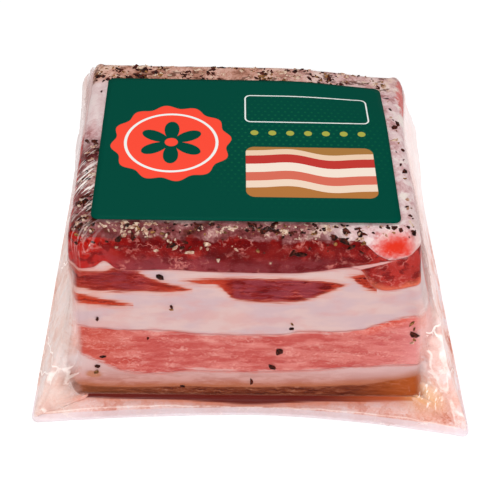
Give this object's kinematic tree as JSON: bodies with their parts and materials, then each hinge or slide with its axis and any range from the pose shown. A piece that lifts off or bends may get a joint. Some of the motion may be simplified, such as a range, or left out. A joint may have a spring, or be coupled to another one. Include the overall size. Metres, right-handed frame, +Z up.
{
  "type": "vacuum-sealed pack of cured pork fat",
  "caption": "Block of layered cured pork fat and lean with a peppered top, sealed in clear film with a flat rim, and a plain rounded label on top.",
  "frame": {"origin": "middle of the pack's footprint, on the surface it lies on", "axes": "+Z up through the label, +X to the right and +Y to the back as seen from the cut face at the front"},
  "size_m": [0.1219, 0.1168, 0.0587],
  "materials": {
    "film": "clear glossy vacuum film, milky where it lies double on the rim",
    "fat": "pale pinkish white cured fat, brown rind at the bottom, moist under film",
    "lean_pale": "pink cured lean with pale fibres along the layer",
    "lean_dark": "dark red cured lean with fine pale marbling",
    "crust": "mauve-grey fat crusted with crushed black pepper and garlic",
    "label": "semi-gloss dark green label with an orange-red and white plain design"
  },
  "bodies": {
    "root": {"vacuum_bag": "film", "fat_lower": "fat", "lean_lower": "lean_pale", "fat_upper": "fat", "lean_upper": "lean_dark", "fat_cap": "crust", "label": "label"}
  },
  "joints": []
}
